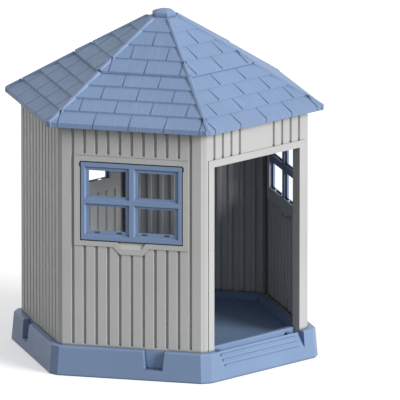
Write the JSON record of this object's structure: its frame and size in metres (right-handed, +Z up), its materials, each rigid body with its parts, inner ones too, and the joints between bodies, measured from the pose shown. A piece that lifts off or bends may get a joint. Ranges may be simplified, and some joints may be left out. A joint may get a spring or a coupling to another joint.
{
  "type": "plastic playhouse",
  "caption": "Six-sided plastic playhouse: ribbed wall panels on a tray base with a step, open doorway, tilting grid windows and a two-tier shingled roof with a cap.",
  "frame": {"origin": "on the ground under the middle of the hexagonal base", "axes": "+Z up, the doorway faces -Y, and two of the hexagon's corners lie on the X axis"},
  "size_m": [1.4176, 1.2406, 1.5059],
  "materials": {
    "wall_plastic": "satin off-white moulded plastic",
    "base_plastic": "satin light blue moulded plastic",
    "roof_plastic": "satin light blue moulded plastic",
    "window_plastic": "satin light blue moulded plastic",
    "pin_plastic": "smooth blue plastic pin",
    "clip_plastic": "off-white moulded plastic",
    "screw_steel": "zinc-plated steel"
  },
  "bodies": {
    "house": {"base_tray": "base_plastic", "wall_front": "wall_plastic", "wall_front_right": "wall_plastic", "wall_back_right": "wall_plastic", "wall_back": "wall_plastic", "wall_back_left": "wall_plastic", "wall_front_left": "wall_plastic", "roof_panel_front": "roof_plastic", "roof_panel_front_right": "roof_plastic", "roof_panel_back_right": "roof_plastic", "roof_panel_back": "roof_plastic", "roof_panel_back_left": "roof_plastic", "roof_panel_front_left": "roof_plastic", "tie_clip_front_right": "clip_plastic", "tie_clip_right": "clip_plastic", "tie_clip_back_right": "clip_plastic", "tie_clip_back_left": "clip_plastic", "tie_clip_left": "clip_plastic", "tie_clip_front_left": "clip_plastic", "roof_crown": "roof_plastic", "roof_cap": "roof_plastic", "cap_screw": "screw_steel", "crown_screws": "screw_steel", "roof_screws": "screw_steel", "clip_screws": "screw_steel", "corner_screws": "screw_steel", "foot_screws": "screw_steel"},
    "front_left_window": {"window_front_left": "window_plastic", "window_pins_front_left": "pin_plastic"},
    "front_right_window": {"window_front_right": "window_plastic", "window_pins_front_right": "pin_plastic"},
    "back_window": {"window_back": "window_plastic", "window_pins_back": "pin_plastic"}
  },
  "joints": [
    {"name": "front_left_window_hinge", "type": "hinge", "parent": "house", "child": "front_left_window", "pos_m": [-0.47631, -0.275, 0.916], "axis": [-0.5, 0.866, 0], "range_deg": [0, 80]},
    {"name": "front_right_window_hinge", "type": "hinge", "parent": "house", "child": "front_right_window", "pos_m": [0.47631, -0.275, 0.916], "axis": [-0.5, -0.866, 0], "range_deg": [0, 80]},
    {"name": "back_window_hinge", "type": "hinge", "parent": "house", "child": "back_window", "pos_m": [0, 0.55, 0.916], "axis": [1, 0, 0], "range_deg": [0, 80]}
  ]
}
